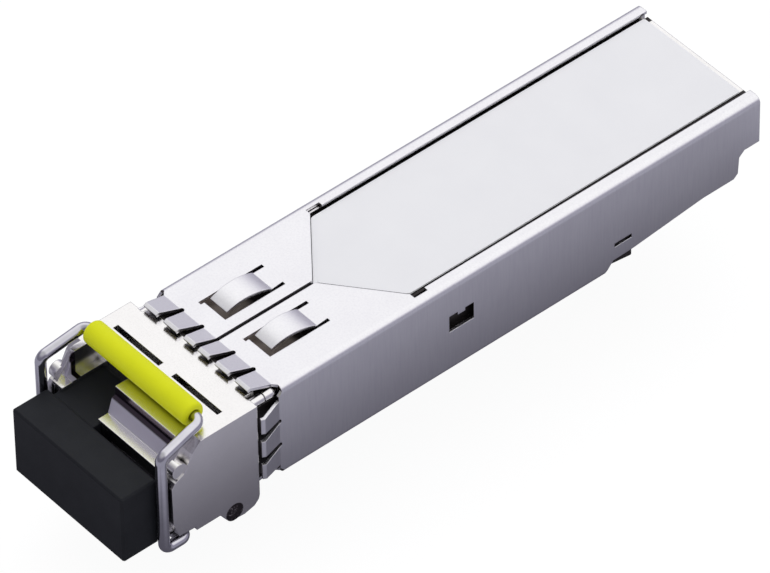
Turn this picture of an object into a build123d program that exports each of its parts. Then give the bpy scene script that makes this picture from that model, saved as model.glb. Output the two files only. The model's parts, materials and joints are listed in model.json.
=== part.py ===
from build123d import *
import math
import os

# Single-fibre SFP transceiver with a bail latch and its dust plug, in millimetres.
# +Y points to the card edge at the rear, -Y to the port, +X across and +Z up.
# The origin is on the body's underside, half way along the part that enters the cage.
# A station is a distance forward from the rear end, which is how the module standard counts.

BODY_LENGTH = 47.5
BODY_WIDTH = 13.4
BODY_HEIGHT = 8.5
SHEET = 0.25
BEND_RADIUS = 0.55
FIT_GAP = 0.07
SEAT_GAP = 0.05

HALF_WIDTH = BODY_WIDTH / 2
SHELL_FRONT = 45.35
RELIEF_REAR = SHELL_FRONT - 0.32
RELIEF_CORNER = 0.35
FINGER_TIP = 47.3
FINGER_RISE = 0.55
FINGER_TAPER = 0.2
FINGER_LIP = (0.25, 0.1)
FINGER_SLOT = 0.4
SEAM = 0.3
TOP_SLOTS = (1.72, 3.92, 6.1)
SIDE_SLOTS = (0.92, 3.08, 5.36, 7.55)
BOTTOM_SLOTS = (3.5, 4.88, 6.1)

WINDOW_HALF = 5.6
WINDOW_TIP = 36.6
WINDOW_SLOPE = 4.5 / 5.6
WINDOW_MARGIN = 0.15
CORNER_NOTCH = (31.0, 32.2)
RELIEF_WIDTH = 0.75

TONGUE_CENTRE = 2.45
TONGUE_ROOT = 39.3
TONGUE_TIP = 43.0
TONGUE_OPENING = 43.65
TONGUE_SLOTS = (38.15, 43.95)
TONGUE_SLOT = 0.3
TONGUE_LEFT = 1.09
TONGUE_RIGHT = (1.1, 0.72)
TONGUE_EDGE = 1.31
TONGUE_RISE = 0.45

SNAP_WINDOW = (27.35, 29.65, 3.95, 5.5)
REAR_SLOT = (12.35, 14.0, 2.38, 2.75)
REAR_EDGE = (
    (-1.0, 4.2),
    (1.45, 4.2),
    (1.95, 3.75),
    (2.05, 2.25),
    (2.45, 1.9),
    (5.45, 1.9),
    (12.25, 1.2),
    (14.1, 1.15),
    (14.8, 0.35),
    (14.8, -1.0),
    (-1.0, -1.0),
)

COVER_TOP = BODY_HEIGHT - SHEET - SEAT_GAP
LABEL_BED = 8.05
LABEL_THICK = 0.1
GROOVE_FLOOR = 7.6
TONGUE_POCKET = 7.45
COVER_SPAN = (0.05, RELIEF_REAR - SEAT_GAP)
COVER_CEILING = 7.0
COVER_HOLLOW = (1.2, 44.4)
COVER_RIM = 0.3
PARTING = 5.35
PAD_BOSS = (-2.4, 2.4, 23.4, 28.4)

TRAY_HALF = HALF_WIDTH - SHEET - FIT_GAP
TRAY_INNER = 5.75
TRAY_BOTTOM = SHEET + SEAT_GAP
TRAY_FLOOR = 1.0
TRAY_REAR = 2.2
BOARD_LEDGES = (9.2, 20.0, 31.4)
BOARD_LEDGE = 1.4
NECK_HALF = 6.0
NECK_BOTTOM = 0.55
NECK_TOP = 7.9
LAND_REAR = 46.72
LAND_HALF = 5.6
RIB_PLACE = (5.95, 7.82)
RIB = 0.8
RIB_WAIST = 0.6
RIB_LOBES = (45.15, 46.22, 46.3)

NOSE_REAR = BODY_LENGTH
STOP_STEP = 0.05
CORE_REAR = NOSE_REAR + STOP_STEP
NOSE_BOTTOM = 0.05
NOSE_CORE_HALF = 6.2
CHEEK_OUTER = 6.95
CHEEK_INNER = 6.1
NOSE_STEPS = (
    (CORE_REAR, NOSE_BOTTOM),
    (CORE_REAR, BODY_HEIGHT),
    (53.65, BODY_HEIGHT),
    (53.68, 7.72),
    (53.98, 7.62),
    (54.4, 6.35),
    (55.3, 6.35),
    (55.3, 0.4),
    (54.95, NOSE_BOTTOM),
)
WALL_OUTLINE = (
    (51.0, BODY_HEIGHT),
    (53.3, BODY_HEIGHT),
    (53.8, 8.2),
    (55.35, 6.1),
    (55.4, 5.6),
    (55.4, 0.9),
    (54.95, 0.45),
    (51.0, 0.45),
)
CHEEK_OUTLINE = (
    (NOSE_REAR, BODY_HEIGHT),
    (52.6, BODY_HEIGHT),
    (53.4, 7.7),
    (53.8, 6.9),
    (54.15, 6.25),
    (55.0, 5.83),
    (55.3, 5.35),
    (55.25, 1.9),
    (54.8, 0.5),
    (53.55, 0.42),
    (53.2, NOSE_BOTTOM),
    (51.1, NOSE_BOTTOM),
    (50.55, -0.75),
    (49.95, -1.15),
    (48.9, -1.23),
    (48.0, -1.0),
    (47.6, -0.6),
    (NOSE_REAR, -0.2),
)
TOP_RECESS = (49.65, 50.1, 7.3)
TOP_RECESS_X = (0.7, 5.73)
BUMP = (54.45, 6.6, 1.3)

PORT_X = -3.125
PORT_Z = 3.8
PORT_HALF = 2.275
PORT_HEIGHT = (1.5, 6.1)
PORT_BACK = 45.9
PORT_SLOT_HALF = 2.0
PORT_SLOT_BACK = 51.6
PORT_RAIL = (-5.7, 6.45)
BLANK_RECESS = (0.3, 5.3, 54.7, 1.6, 5.2)

PLUG_HALF = 6.05
PLUG_BACK = 55.9
PLUG_FRONT = 59.1
PLUG_HEIGHT = 6.15
PLUG_GAP = 0.08
PLUG_EDGE = 0.15
INSERT_END = 50.4

WIRE = 0.85
WIRE_SIDES = 12
WIRE_CLEAR = 0.15
BAIL_PIVOT = (53.85, -0.3)
BAIL_HALF = PLUG_HALF + WIRE_CLEAR + WIRE / 2
BAIL_LEG = 55.93
BAIL_SHOULDER = 8.7
BAIL_TOP = (52.05, 9.6)
BAIL_TAPER = 0.33
BAIL_TOP_HALF = BAIL_HALF - BAIL_TAPER
BAIL_BEND = 0.6
LUG = (5.3, 6.0, 1.7)
JOURNAL_GAP = 0.04
TIP_OFFSET = 0.286
TIP_ANGLE = 53.5
TIP_X = (4.3, 5.2)
JOURNAL_END = 4.95
SLEEVE = 1.9
SLEEVE_HALF = BAIL_TOP_HALF - BAIL_BEND - 0.07
SLEEVE_GAP = 0.03
SLEEVE_END = 0.3

PIN = 0.9
PIN_AXIS = (49.8, -0.45)
PIN_HALF = 6.9
PIN_GAP = 0.03
ROCKER_THICK = 0.45
ROCKER_HALF = 2.9
ROCKER_REAR = 42.2
ROCKER_LEVEL = 0.05
CROSSBAR_HALF = 4.85
CROSSBAR = (52.9, 54.6)
CROSSBAR_GAP = 0.04
LATCH_SHOULDER = 45.0
BOSS_HEIGHT = 0.45
BOSS_HALF = 1.3
ROCKER_BAY_HALF = 3.15
ROCKER_BAY = (41.0, 46.4, 52.6)
BAY_CEILING = (1.45, 0.95)
BAY_ROOF = 0.45
BAY_WALL = 0.6
SPRING_THICK = 0.12
SPRING_HALF = 1.2
SPRING_BOW = 0.15

BOARD_BOTTOM = 2.25
BOARD_THICK = 1.0
EDGE_HALF = 4.6
EDGE_LENGTH = 8.8
BOARD_HALF = 5.55
CONTACT_PITCH = 0.8
CONTACT_WIDTH = 0.5
CONTACT_THICK = 0.04
BOARD_TOP = BOARD_BOTTOM + BOARD_THICK

BARREL = 2.9
BARREL_FLANGE = (43.9, 44.4, 3.5)
GASKET_END = 44.95
SADDLE_SPAN = (BARREL_FLANGE[0] - 1.2, BARREL_FLANGE[0] - 0.1)
CLAMP_TOP = 6.4
BLOCK_LENGTH = 4.8
BLOCK_SPAN = (SADDLE_SPAN[0] - 2.5 - BLOCK_LENGTH, SADDLE_SPAN[0] - 2.5)
BLOCK_HALF = 2.3
BARREL_SPAN = (BLOCK_SPAN[1] - 1.0, 51.2)
PLUG_BORE_END = BARREL_SPAN[1] + 1.2
SLEEVE_BORE = 1.62
SLEEVE_SPAN = (44.6, 50.6)
FERRULE = 1.25
STUB_SPAN = (BARREL_SPAN[0] + 0.2, 46.6)
CAN = 3.8
CAN_BASE = 4.4
LASER_DEPTH = 0.6
LASER_LENGTH = 2.1
DETECTOR_STATION = BLOCK_SPAN[0] + 2.6
DETECTOR_DEPTH = 0.7
DETECTOR_LENGTH = 2.9
CAN_BASE_THICK = 0.8
FLEX_THICK = 0.1
FLEX_BEND = 0.6
FLEX_END = 29.8
FLEX_TOP = 5.5
LASER_FLEX_HALF = 1.6
BOARD = (3.2, BLOCK_SPAN[0] - LASER_LENGTH - CAN_BASE_THICK - 0.9)

# Components on the board: x, station, width, length, height.
DRIVER_CHIP = (0, 25.9, 4.2, 4.2, 0.9)
CONTROLLER_CHIP = (0, 17.2, 4.8, 4.8, 0.8)
MEMORY_CHIP = (-3.0, 12.9, 2.0, 3.0, 0.7)
CRYSTAL = (2.6, 13.4, 2.5, 2.0, 0.7)
CAPACITOR = (0.6, 1.1, 0.55)
CAPACITORS = (
    (-4.6, 14.5),
    (-4.6, 17),
    (4.6, 15.5),
    (4.6, 18),
    (-4.9, 29.5),
    (0.2, 30.6),
    (-0.8, 30.6),
    (4.7, 24),
    (4.7, 26),
)
INDUCTOR = (1.4, 1.8, 1.2)
INDUCTORS = ((-4.4, 21.5), (4.4, 21.2), (4.3, 29))
PAD_TOP = 5.0

# Beyond every face of the module, for cuts that run right out of it.
FAR = 80


def fwd(station):
    """Y of a point that lies this far forward of the rear end."""
    return BODY_LENGTH / 2 - station


def block(x0, x1, s0, s1, z0, z1):
    """A cuboid between two X, two stations and two heights."""
    middle = Pos((x0 + x1) / 2, fwd((s0 + s1) / 2), (z0 + z1) / 2)
    return middle * Box(x1 - x0, s1 - s0, z1 - z0)


def across(points, x0, x1):
    """A side outline of (station, height) points, run across from x0 to x1."""
    edge = Polyline(*[(x0, fwd(s), z) for s, z in points], close=True)
    return extrude(make_face(edge), amount=x1 - x0, dir=(1, 0, 0))


def upward(points, z0, z1):
    """A plan outline of (x, station) points, run up from z0 to z1."""
    edge = Polyline(*[(x, fwd(s), z0) for x, s in points], close=True)
    return extrude(make_face(edge), amount=z1 - z0, dir=(0, 0, 1))


def rod_across(x0, x1, station, z, diameter):
    place = Pos((x0 + x1) / 2, fwd(station), z) * Rot(0, 90, 0)
    return place * Cylinder(diameter / 2, x1 - x0)


def rod_along(x, z, s0, s1, diameter):
    place = Pos(x, fwd((s0 + s1) / 2), z) * Rot(90, 0, 0)
    return place * Cylinder(diameter / 2, s1 - s0)


def both_sides(shape):
    return shape + mirror(shape, about=Plane.YZ)


def folded_strip(points, thickness, x0, x1):
    """Sheet whose middle follows straight (station, height) runs with mitred folds, from x0 to x1."""
    middle = [Vector(s, z) for s, z in points]
    runs = [(b - a).normalized() for a, b in zip(middle, middle[1:])]
    above, below = [], []
    for point, before, after in zip(middle, runs[:1] + runs, runs + runs[-1:]):
        mitre = (before + after).normalized()
        out = Vector(-mitre.Y, mitre.X) * (thickness / 2 / mitre.dot(before))
        above.append(point + out)
        below.append(point - out)
    return across([(p.X, p.Y) for p in above + below[::-1]], x0, x1)


def arched_strip(points, thickness, x0, x1):
    """Sheet whose middle is the arc through three (station, height) points, from x0 to x1."""
    middle = ThreePointArc(*[(x0, fwd(s), z) for s, z in points])
    centre = middle.arc_center
    edges = []
    for reach in (thickness / 2, -thickness / 2):
        along = [middle @ share for share in (0, 0.5, 1)]
        edges.append(ThreePointArc(*[p + (p - centre).normalized() * reach for p in along]))
    outer, inner = edges
    ends = Line(outer @ 0, inner @ 0) + Line(outer @ 1, inner @ 1)
    return extrude(make_face(outer + inner + ends), amount=x1 - x0, dir=(1, 0, 0))


def body_tube(gap, s0, s1):
    """The rounded body section, set in by gap, between two stations."""
    section = Plane((0, fwd(s1), BODY_HEIGHT / 2), x_dir=(1, 0, 0), z_dir=(0, 1, 0))
    corner = max(BEND_RADIUS - gap, 0.1)
    shape = section * RectangleRounded(BODY_WIDTH - 2 * gap, BODY_HEIGHT - 2 * gap, corner)
    return extrude(shape, amount=s1 - s0)


def window_outline(inset, rear):
    """The chevron window in plan, drawn in by inset."""
    half = WINDOW_HALF - inset
    tip = WINDOW_TIP - inset * math.hypot(1, WINDOW_SLOPE)
    shoulder = tip - half * WINDOW_SLOPE
    return ((-half, rear), (-half, shoulder), (0, tip), (half, shoulder), (half, rear))


def finger(x0, x1, height, taper0=FINGER_TAPER, taper1=FINGER_TAPER):
    """One grounding finger: a tab folded out of a face at this height, narrower at its lipped tip."""
    mid = height - SHEET / 2
    length, drop = FINGER_LIP
    run = (
        (SHELL_FRONT - 0.3, mid),
        (SHELL_FRONT, mid),
        (FINGER_TIP - length, mid + FINGER_RISE),
        (FINGER_TIP, mid + FINGER_RISE - drop),
    )
    strip = folded_strip(run, SHEET, x0, x1)
    tip, end = FINGER_TIP, FINGER_TIP + 0.2
    plan = (
        (x0, SHELL_FRONT - 0.4),
        (x0, SHELL_FRONT),
        (x0 + taper0, tip),
        (x0 + taper0, end),
        (x1 - taper1, end),
        (x1 - taper1, tip),
        (x1, SHELL_FRONT),
        (x1, SHELL_FRONT - 0.4),
    )
    return strip & upward(plan, height - 1, height + 1)


def slot_ends(centres, height):
    """Round rear ends of the slots between the fingers of one face."""
    ends = [Pos(x, fwd(SHELL_FRONT), height) * Cylinder(FINGER_SLOT / 2, 1) for x in centres]
    return ends[0] + ends[1:]


def gaps_between(slots):
    """Spans of the fingers that lie between slot centres."""
    half = FINGER_SLOT / 2
    return [(a + half, b - half) for a, b in zip(slots, slots[1:])]


def top_fingers():
    row = [finger(a, b, BODY_HEIGHT) for a, b in gaps_between(TOP_SLOTS)]
    row.append(finger(SEAM / 2, TOP_SLOTS[0] - FINGER_SLOT / 2, BODY_HEIGHT, FINGER_TAPER / 2))
    return both_sides(row[0] + row[1] + row[2])


def side_fingers():
    row = [finger(-b, -a, HALF_WIDTH) for a, b in gaps_between(SIDE_SLOTS)]
    return both_sides(Rot(0, 90, 0) * (row[0] + row[1] + row[2]))


def bottom_fingers():
    row = [finger(a, b, 0.0) for a, b in gaps_between(BOTTOM_SLOTS)]
    return both_sides(mirror(row[0] + row[1], about=Plane.XY))


def corner_reliefs():
    """Openings at the front ends of the four long bends, where neither face has a finger."""
    inner, low = TOP_SLOTS[2] - FINGER_SLOT / 2, BODY_HEIGHT - RELIEF_WIDTH
    on_top = (
        (inner, FAR),
        (inner, SHELL_FRONT),
        (inner + RELIEF_CORNER, RELIEF_REAR),
        (FAR, RELIEF_REAR),
        (FAR, FAR),
    )
    on_side = (
        (FAR, low),
        (SHELL_FRONT, low),
        (RELIEF_REAR, low + RELIEF_CORNER),
        (RELIEF_REAR, FAR),
        (FAR, FAR),
    )
    relief = upward(on_top, low + RELIEF_CORNER, FAR) + across(on_side, inner + RELIEF_CORNER, FAR)
    below = Plane.XY.offset(BODY_HEIGHT / 2)
    return both_sides(relief + mirror(relief, about=below))


def tongue_opening(centre):
    left, right = centre - TONGUE_EDGE, centre + TONGUE_EDGE
    slot_rear, slot_front = TONGUE_SLOTS
    low, high = BODY_HEIGHT - 1, BODY_HEIGHT + 1
    hole = upward(
        (
            (centre - TONGUE_LEFT, TONGUE_ROOT),
            (centre - TONGUE_LEFT, TONGUE_OPENING),
            (right, TONGUE_OPENING),
            (right, slot_rear),
            (right - TONGUE_SLOT, slot_rear),
            (centre + TONGUE_RIGHT[0], TONGUE_ROOT),
        ),
        low,
        high,
    )
    hole += block(left, left + TONGUE_SLOT, slot_rear, slot_front, low, high)
    return hole


def tongue(centre):
    """The arched contact tongue, rooted at its rear end and free at its tip."""
    mid = BODY_HEIGHT - SHEET / 2
    crest = ((TONGUE_ROOT + TONGUE_TIP) / 2, mid + TONGUE_RISE)
    arch = ((TONGUE_ROOT - 0.1, mid), crest, (TONGUE_TIP, mid - 0.05))
    left, right = centre - TONGUE_LEFT, centre + TONGUE_RIGHT[0]
    strip = arched_strip(arch, SHEET, left, right)
    rear, front = TONGUE_ROOT - 0.4, TONGUE_TIP + 0.3
    plan = ((left, rear), (left, front), (centre + TONGUE_RIGHT[1], front), (right, rear))
    return strip & upward(plan, BODY_HEIGHT - 1, BODY_HEIGHT + 1)


def shell():
    """The folded sleeve: one sheet with its flaps, fingers, tongues and windows."""
    sheet = body_tube(0, 0, SHELL_FRONT) - body_tube(SHEET, -1, SHELL_FRONT + 1)
    wide = HALF_WIDTH + 1
    sheet -= across(REAR_EDGE, -wide, wide)
    sheet -= upward(window_outline(0, -1.0), COVER_TOP, BODY_HEIGHT + 1)
    for side in (-1, 1):
        x0, x1 = sorted((side * (WINDOW_HALF - 0.2), side * (WINDOW_HALF + 0.35)))
        sheet -= block(x0, x1, CORNER_NOTCH[0], CORNER_NOTCH[1], COVER_TOP, BODY_HEIGHT + 1)
        sheet -= tongue_opening(side * TONGUE_CENTRE)
    sheet -= block(-SEAM / 2, SEAM / 2, WINDOW_TIP - 1, SHELL_FRONT + 1, COVER_TOP, BODY_HEIGHT + 1)
    rear, front, low, high = SNAP_WINDOW
    sheet -= block(-wide, wide, rear, front, low, high)
    middle = (rear + front) / 2
    bump = block(HALF_WIDTH - SHEET, HALF_WIDTH, middle - 0.35, middle + 0.35, high - 0.28, high)
    sheet += both_sides(bump)
    rear, front, low, high = REAR_SLOT
    sheet -= block(-wide, wide, rear, front, low, high)
    bay = BOTTOM_SLOTS[0] - FINGER_SLOT / 2
    sheet -= block(-bay, bay, ROCKER_BAY[0], SHELL_FRONT + 1, -1, SHEET + 0.5)
    sheet -= corner_reliefs()
    sheet -= both_sides(slot_ends(TOP_SLOTS[:2], BODY_HEIGHT) + slot_ends(BOTTOM_SLOTS[1:2], 0))
    sheet -= both_sides(Rot(0, 90, 0) * slot_ends([-z for z in SIDE_SLOTS[1:3]], HALF_WIDTH))
    sheet += top_fingers() + side_fingers() + bottom_fingers()
    for side in (-1, 1):
        sheet += tongue(side * TONGUE_CENTRE)
    return sheet


def tray():
    """Rear part of the base casting: floor, walls and board ledges inside the shell."""
    inside = body_tube(SHEET + FIT_GAP, TRAY_REAR, SHELL_FRONT - SEAT_GAP)
    lower = inside & block(-TRAY_HALF, TRAY_HALF, 0, FAR, TRAY_BOTTOM, PARTING)
    rear = [(s, z + SEAT_GAP) for s, z in REAR_EDGE]
    lower -= across(rear, -TRAY_HALF - 1, TRAY_HALF + 1)
    lower -= block(-TRAY_INNER, TRAY_INNER, -1, GASKET_END, TRAY_FLOOR, PARTING + 1)
    for s in BOARD_LEDGES:
        ledge = block(EDGE_HALF + 0.15, TRAY_INNER, s, s + BOARD_LEDGE, TRAY_FLOOR, BOARD_BOTTOM)
        lower += both_sides(ledge)
    return lower


def corner_rib():
    """The rib in the corner relief, in two lobes on a thinner waist."""
    x, z = RIB_PLACE
    rear, gap_rear, gap_front = RIB_LOBES
    radius = RIB / 2
    rib = rod_along(x, z, rear + radius, gap_rear, RIB) + rod_along(x, z, gap_front, CORE_REAR + 0.1, RIB)
    rib += rod_along(x, z, rear + radius, CORE_REAR, RIB_WAIST)
    return rib + Pos(x, fwd(rear + radius), z) * Sphere(radius)


def nose():
    """Front part of the base casting: neck, stepped face, cheeks, lugs and port."""
    shape = block(-NECK_HALF, NECK_HALF, RELIEF_REAR, CORE_REAR, NECK_BOTTOM, NECK_TOP)
    shape += block(-LAND_HALF, LAND_HALF, LAND_REAR, CORE_REAR, NECK_TOP - 0.1, BODY_HEIGHT)
    shape += both_sides(corner_rib())
    shape += across(NOSE_STEPS, -NOSE_CORE_HALF, NOSE_CORE_HALF)
    wall = across(WALL_OUTLINE, 5.85, CHEEK_INNER + 0.15)
    shape += both_sides(wall)
    cheek = across(CHEEK_OUTLINE, CHEEK_INNER, CHEEK_OUTER)
    bump = rod_across(CHEEK_INNER, CHEEK_OUTER - 0.1, BUMP[0], BUMP[1], BUMP[2])
    pivot_s, pivot_z = BAIL_PIVOT
    lug = rod_across(LUG[0], LUG[1], pivot_s, pivot_z, LUG[2])
    shape += both_sides(cheek + bump + lug)
    return shape


def port_cuts():
    """Everything that is open in the nose: port, top slot, blank recess and grooves."""
    low, high = PORT_HEIGHT
    cut = block(PORT_X - PORT_HALF, PORT_X + PORT_HALF, PORT_BACK, FAR, low, high)
    slot = PORT_SLOT_HALF
    cut += block(PORT_X - slot, PORT_X + slot, PORT_SLOT_BACK, FAR, high - 0.1, FAR)
    cut += block(PORT_RAIL[0], PORT_X, PORT_SLOT_BACK, FAR, PORT_RAIL[1], FAR)
    x0, x1, back, z0, z1 = BLANK_RECESS
    cut += block(x0, x1, back, FAR, z0, z1)
    groove = block(TOP_RECESS_X[0], TOP_RECESS_X[1], TOP_RECESS[0], TOP_RECESS[1], TOP_RECESS[2], FAR)
    cut += both_sides(groove)
    cut += rod_along(PORT_X, PORT_Z, SHELL_FRONT - 1, PORT_BACK + 1, BARREL + 2 * SEAT_GAP)
    return cut


def latch_cuts():
    """Room for the rocker under the neck and nose, and for the bail's journals and tips."""
    rear, step, front = ROCKER_BAY
    half = ROCKER_BAY_HALF
    cut = block(-half, half, rear, step, -1, BAY_CEILING[0])
    cut += block(-half, half, step - 0.1, front, -2, BAY_CEILING[1])
    s, z = BAIL_PIVOT
    hole = rod_across(LUG[0] - 1, CHEEK_OUTER + 1, s, z, WIRE + 2 * JOURNAL_GAP)
    tip_room = block(TIP_X[0] - 0.15, LUG[0], s - 0.9, s + 0.9, -2, z + TIP_OFFSET + WIRE / 2 + 0.2)
    foot_room = block(LUG[1] + 0.08, FAR, s - 0.6, FAR, -2, 0.42)
    cut += both_sides(hole + tip_room + foot_room)
    cut += rod_across(-FAR, FAR, PIN_AXIS[0], PIN_AXIS[1], PIN)
    return cut


def base_casting():
    bay_top = BAY_CEILING[0] + BAY_ROOF
    shape = tray() + nose()
    bay_half = ROCKER_BAY_HALF + BAY_WALL
    shape += block(-bay_half, bay_half, ROCKER_BAY[0] - BAY_WALL, ROCKER_BAY[1], TRAY_BOTTOM, bay_top)
    saddle = block(PORT_X - BLOCK_HALF, PORT_X + BLOCK_HALF, *SADDLE_SPAN, TRAY_FLOOR - 0.1, PORT_Z)
    saddle -= rod_along(PORT_X, PORT_Z, *SADDLE_SPAN, BARREL)
    shape += saddle
    shape -= port_cuts() + latch_cuts()
    rear, front, low, high = SNAP_WINDOW
    shape -= both_sides(block(TRAY_HALF - 0.35, FAR, rear - 0.3, front + 0.3, low - 0.2, high + 0.2))
    return shape


def top_cover():
    """The lid: label bed and groove in the window, pockets under the tongues, hollow below."""
    inside = body_tube(SHEET + FIT_GAP, *COVER_SPAN)
    shape = inside & block(-TRAY_HALF, TRAY_HALF, -1, FAR, PARTING, COVER_TOP)
    shape -= upward(window_outline(-WINDOW_MARGIN, -1.0), GROOVE_FLOOR, FAR)
    shape += upward(window_outline(WINDOW_MARGIN, COVER_SPAN[0]), GROOVE_FLOOR - 0.1, LABEL_BED)
    half = TRAY_INNER - COVER_RIM
    shape -= block(-half, half, *COVER_HOLLOW, PARTING - 1, COVER_CEILING)
    shape -= rod_along(PORT_X, PORT_Z, BARREL_FLANGE[0], FAR, BARREL_FLANGE[2] + 0.2)
    for side in (-1, 1):
        x0 = side * TONGUE_CENTRE - 1.5
        shape -= block(x0, x0 + 3.0, TONGUE_SLOTS[0], TONGUE_SLOTS[1] + 0.1, TONGUE_POCKET, FAR)
    shape += block(*PAD_BOSS, PAD_TOP, COVER_CEILING + 0.1)
    rear, front, low, high = SNAP_WINDOW
    shape -= both_sides(block(TRAY_HALF - 0.35, FAR, rear - 0.3, front + 0.3, low - 0.2, high + 0.2))
    return shape


def label_plate():
    return upward(window_outline(WINDOW_MARGIN + 0.1, 0.4), LABEL_BED, LABEL_BED + LABEL_THICK)


def bail_point(x, station, z):
    return (x, fwd(station), z)


def bail_wire():
    """The wire: journal, foot, leg, shoulder and top bar, the same on both sides, with stepped tips."""
    s, z = BAIL_PIVOT
    half = (
        (JOURNAL_END, s, z),
        (BAIL_HALF, s, z),
        (BAIL_HALF, BAIL_LEG, z),
        (BAIL_HALF, BAIL_LEG, BAIL_SHOULDER),
        (BAIL_TOP_HALF, BAIL_TOP[0], BAIL_TOP[1]),
    )
    right = [bail_point(*p) for p in half]
    left = [bail_point(-x, t, h) for x, t, h in reversed(half)]
    path = FilletPolyline(*(right + left), radius=BAIL_BEND)
    section = RegularPolygon(radius=WIRE / 2, side_count=WIRE_SIDES)
    wire = sweep(Plane(path @ 0, z_dir=path % 0) * section, path=path)
    angle = math.radians(TIP_ANGLE)
    tip_s = s + TIP_OFFSET * math.cos(angle)
    tip_z = z + TIP_OFFSET * math.sin(angle)
    return wire + both_sides(rod_across(TIP_X[0], TIP_X[1], tip_s, tip_z, WIRE))


def bail_sleeve():
    s, z = BAIL_TOP
    tube = rod_across(-SLEEVE_HALF, SLEEVE_HALF, s, z, SLEEVE)
    tube = chamfer(tube.edges().filter_by(GeomType.CIRCLE), SLEEVE_END)
    return tube - rod_across(-FAR, FAR, s, z, WIRE + 2 * SLEEVE_GAP)


def crossbar_top():
    """Height of the rocker's front bar, just under the bail's tips at rest."""
    lift = TIP_OFFSET * math.sin(math.radians(TIP_ANGLE))
    return BAIL_PIVOT[1] + lift - WIRE / 2 - CROSSBAR_GAP


def latch_rocker():
    """The lever: a joggled plate with two pin ears, a front bar and the latch boss."""
    top, bar = ROCKER_LEVEL + ROCKER_THICK, crossbar_top()
    side = (
        (ROCKER_REAR, top),
        (50.4, top),
        (51.9, bar),
        (CROSSBAR[1], bar),
        (CROSSBAR[1], bar - ROCKER_THICK),
        (51.7, bar - ROCKER_THICK),
        (50.2, ROCKER_LEVEL),
        (ROCKER_REAR, ROCKER_LEVEL),
    )
    lever = across(side, -ROCKER_HALF, ROCKER_HALF)
    lever += block(-CROSSBAR_HALF, CROSSBAR_HALF, CROSSBAR[0], CROSSBAR[1], bar - ROCKER_THICK, bar)
    s, z = PIN_AXIS
    ear = rod_across(ROCKER_HALF - ROCKER_THICK, ROCKER_HALF, s, z, 1.7)
    ear += block(ROCKER_HALF - ROCKER_THICK, ROCKER_HALF, s - 0.85, s + 0.85, z, ROCKER_LEVEL + 0.1)
    lever += both_sides(ear)
    lever -= rod_across(-FAR, FAR, s, z, PIN + 2 * PIN_GAP)
    boss = (
        (LATCH_SHOULDER, ROCKER_LEVEL + 0.1),
        (LATCH_SHOULDER, -BOSS_HEIGHT),
        (LATCH_SHOULDER - 0.6, -BOSS_HEIGHT),
        (LATCH_SHOULDER - 2.5, ROCKER_LEVEL),
        (LATCH_SHOULDER - 2.5, ROCKER_LEVEL + 0.1),
    )
    return lever + across(boss, -BOSS_HALF, BOSS_HALF)


def pivot_pin():
    return rod_across(-PIN_HALF, PIN_HALF, PIN_AXIS[0], PIN_AXIS[1], PIN)


def latch_spring():
    root = (ROCKER_BAY[1] - 0.2, BAY_CEILING[0] - SPRING_THICK)
    tip = (ROCKER_REAR + 0.6, ROCKER_LEVEL + ROCKER_THICK + SPRING_THICK)
    middle = ((root[0] + tip[0]) / 2, (root[1] + tip[1]) / 2 + SPRING_BOW)
    return arched_strip((root, middle, tip), SPRING_THICK, -SPRING_HALF, SPRING_HALF)


def dust_plug():
    """Plug block and port insert in one moulding, with a blind bore over the barrel."""
    head = block(-PLUG_HALF, PLUG_HALF, PLUG_BACK, PLUG_FRONT, 0, PLUG_HEIGHT)
    head = chamfer(head.edges(), PLUG_EDGE)
    half = PORT_HALF - PLUG_GAP
    low, high = PORT_HEIGHT[0] + PLUG_GAP, PORT_HEIGHT[1] - PLUG_GAP
    insert = block(PORT_X - half, PORT_X + half, INSERT_END, PLUG_BACK + 0.5, low, high)
    insert -= rod_along(PORT_X, PORT_Z, INSERT_END - 1, PLUG_BORE_END, BARREL + 2 * SEAT_GAP)
    return head + insert


def circuit_board():
    rear, front = BOARD
    shoulder = rear + EDGE_LENGTH
    plan = (
        (-EDGE_HALF, rear + 0.4),
        (-EDGE_HALF + 0.4, rear),
        (EDGE_HALF - 0.4, rear),
        (EDGE_HALF, rear + 0.4),
        (EDGE_HALF, shoulder),
        (BOARD_HALF, shoulder + 0.4),
        (BOARD_HALF, front),
        (-BOARD_HALF, front),
        (-BOARD_HALF, shoulder + 0.4),
        (-EDGE_HALF, shoulder),
    )
    return upward(plan, BOARD_BOTTOM, BOARD_TOP)


def edge_contacts():
    pads = []
    half = CONTACT_WIDTH / 2
    for i in range(10):
        x = (i - 4.5) * CONTACT_PITCH
        start = BOARD[0] + (0.5 if i in (0, 4, 9) else 0.9)
        for z in (BOARD_TOP, BOARD_BOTTOM - CONTACT_THICK):
            pads.append(block(x - half, x + half, start, BOARD[0] + 4.2, z, z + CONTACT_THICK))
    return Compound(children=pads)


def on_board(x, station, width, length, height):
    """A component that sits on the board, centred at x and station."""
    return block(
        x - width / 2,
        x + width / 2,
        station - length / 2,
        station + length / 2,
        BOARD_TOP,
        BOARD_TOP + height,
    )


def receptacle_barrel():
    rear, front = BARREL_SPAN
    tube = rod_along(PORT_X, PORT_Z, rear, front, BARREL)
    tube += rod_along(PORT_X, PORT_Z, *BARREL_FLANGE)
    tube -= rod_along(PORT_X, PORT_Z, SLEEVE_SPAN[0], front + 1, SLEEVE_BORE)
    return tube - rod_along(PORT_X, PORT_Z, rear - 1, front + 1, FERRULE)


def alignment_sleeve():
    ring = rod_along(PORT_X, PORT_Z, SLEEVE_SPAN[0], SLEEVE_SPAN[1], SLEEVE_BORE)
    ring -= rod_along(PORT_X, PORT_Z, 0, FAR, FERRULE)
    return ring - block(PORT_X - 0.12, PORT_X + 0.12, 0, FAR, PORT_Z, FAR)


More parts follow.
